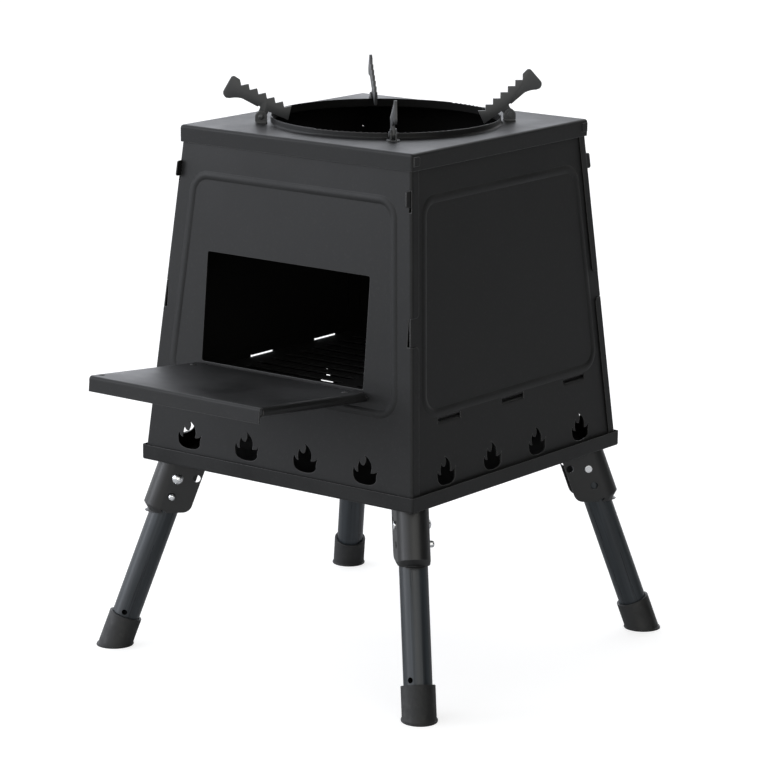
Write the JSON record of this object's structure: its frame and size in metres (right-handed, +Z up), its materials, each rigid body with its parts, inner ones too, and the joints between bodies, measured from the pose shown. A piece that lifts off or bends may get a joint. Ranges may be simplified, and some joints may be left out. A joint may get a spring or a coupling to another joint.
{
  "type": "folding wood stove",
  "caption": "Folding camp wood stove: a tapered sheet steel firebox with flame vents and a drop-down fuel door, toothed pot supports round a top hole, and splayed folding legs.",
  "frame": {"origin": "on the ground, under the centre of the stove", "axes": "+Z up, -Y towards the fuel door, +X to the right of someone behind the stove's front, seen along +Y"},
  "size_m": [0.3788, 0.4832, 0.5226],
  "materials": {
    "black_paint": "matte heat-resistant paint",
    "grate_paint": "matte heat-resistant paint",
    "leg_paint": "satin powder coat",
    "zinc": "bright zinc",
    "spring_steel": "bare spring steel",
    "rubber": "matte"
  },
  "bodies": {
    "stove_body": {"base_tray": "black_paint", "front_panel": "black_paint", "rear_panel": "black_paint", "left_panel": "black_paint", "right_panel": "black_paint", "grate": "grate_paint", "door_hinge_pins": "zinc", "bracket_rivets": "zinc", "leg_pivot_rivets": "zinc", "leg_bracket_front_left": "black_paint", "leg_bracket_front_right": "black_paint", "leg_bracket_rear_right": "black_paint", "leg_bracket_rear_left": "black_paint"},
    "lid": {"lid": "black_paint", "pot_support_pins": "black_paint", "pot_support_bracket_front_left": "black_paint", "pot_support_bracket_front_right": "black_paint", "pot_support_bracket_rear_right": "black_paint", "pot_support_bracket_rear_left": "black_paint"},
    "door": {"door": "black_paint", "door_hinge_straps": "black_paint", "door_strap_rivets": "black_paint"},
    "leg_front_left": {"leg_tube_front_left": "leg_paint", "foot_cap_front_left": "rubber", "snap_spring_front_left": "spring_steel"},
    "button_front_left": {"snap_button_front_left": "zinc"},
    "pot_arm_front_left": {"pot_support_front_left": "black_paint"},
    "leg_front_right": {"leg_tube_front_right": "leg_paint", "foot_cap_front_right": "rubber", "snap_spring_front_right": "spring_steel"},
    "button_front_right": {"snap_button_front_right": "zinc"},
    "pot_arm_front_right": {"pot_support_front_right": "black_paint"},
    "leg_rear_right": {"leg_tube_rear_right": "leg_paint", "foot_cap_rear_right": "rubber", "snap_spring_rear_right": "spring_steel"},
    "button_rear_right": {"snap_button_rear_right": "zinc"},
    "pot_arm_rear_right": {"pot_support_rear_right": "black_paint"},
    "leg_rear_left": {"leg_tube_rear_left": "leg_paint", "foot_cap_rear_left": "rubber", "snap_spring_rear_left": "spring_steel"},
    "button_rear_left": {"snap_button_rear_left": "zinc"},
    "pot_arm_rear_left": {"pot_support_rear_left": "black_paint"}
  },
  "joints": [
    {"name": "lid_lift", "type": "slide", "parent": "stove_body", "child": "lid", "axis": [0, 0, 1], "range_m": [0, 0.06]},
    {"name": "door_hinge", "type": "hinge", "parent": "stove_body", "child": "door", "pos_m": [0, -0.1518, 0.26669], "axis": [-1, 0, 0], "range_deg": [0, 90]},
    {"name": "leg_fold_front_left", "type": "hinge", "parent": "stove_body", "child": "leg_front_left", "pos_m": [-0.13258, -0.13258, 0.15693], "axis": [0.7071, -0.7071, 0], "range_deg": [0, 110], "deforming": ["snap_button_front_left", "snap_spring_front_left"]},
    {"name": "button_press_front_left", "type": "slide", "parent": "leg_front_left", "child": "button_front_left", "axis": [-0.7071, 0.7071, 0], "range_m": [0, 0.0062], "stiffness_N_per_m": 1200, "springref_m": -0.003, "deforming": ["snap_spring_front_left"]},
    {"name": "pot_support_swing_front_left", "type": "hinge", "parent": "lid", "child": "pot_arm_front_left", "pos_m": [-0.07985, -0.07711, 0.48213], "axis": [-0.6947, 0.7193, 0], "range_deg": [-36, 16]},
    {"name": "leg_fold_front_right", "type": "hinge", "parent": "stove_body", "child": "leg_front_right", "pos_m": [0.13258, -0.13258, 0.15693], "axis": [0.7071, 0.7071, 0], "range_deg": [0, 110], "deforming": ["snap_button_front_right", "snap_spring_front_right"]},
    {"name": "button_press_front_right", "type": "slide", "parent": "leg_front_right", "child": "button_front_right", "axis": [-0.7071, -0.7071, 0], "range_m": [0, 0.0062], "stiffness_N_per_m": 1200, "springref_m": -0.003, "deforming": ["snap_spring_front_right"]},
    {"name": "pot_support_swing_front_right", "type": "hinge", "parent": "lid", "child": "pot_arm_front_right", "pos_m": [0.07224, -0.08428, 0.48213], "axis": [-0.7593, -0.6508, 0], "range_deg": [-30, 22]},
    {"name": "leg_fold_rear_right", "type": "hinge", "parent": "stove_body", "child": "leg_rear_right", "pos_m": [0.13258, 0.13258, 0.15693], "axis": [-0.7071, 0.7071, 0], "range_deg": [0, 110], "deforming": ["snap_button_rear_right", "snap_spring_rear_right"]},
    {"name": "button_press_rear_right", "type": "slide", "parent": "leg_rear_right", "child": "button_rear_right", "axis": [0.7071, -0.7071, 0], "range_m": [0, 0.0062], "stiffness_N_per_m": 1200, "springref_m": -0.003, "deforming": ["snap_spring_rear_right"]},
    {"name": "pot_support_swing_rear_right", "type": "hinge", "parent": "lid", "child": "pot_arm_rear_right", "pos_m": [0.07985, 0.07711, 0.48213], "axis": [0.6947, -0.7193, 0], "range_deg": [-48, 4]},
    {"name": "leg_fold_rear_left", "type": "hinge", "parent": "stove_body", "child": "leg_rear_left", "pos_m": [-0.13258, 0.13258, 0.15693], "axis": [-0.7071, -0.7071, 0], "range_deg": [0, 110], "deforming": ["snap_button_rear_left", "snap_spring_rear_left"]},
    {"name": "button_press_rear_left", "type": "slide", "parent": "leg_rear_left", "child": "button_rear_left", "axis": [0.7071, 0.7071, 0], "range_m": [0, 0.0062], "stiffness_N_per_m": 1200, "springref_m": -0.003, "deforming": ["snap_spring_rear_left"]},
    {"name": "pot_support_swing_rear_left", "type": "hinge", "parent": "lid", "child": "pot_arm_rear_left", "pos_m": [-0.07627, 0.08065, 0.48213], "axis": [0.7266, 0.6871, 0], "range_deg": [-37, 15]}
  ]
}
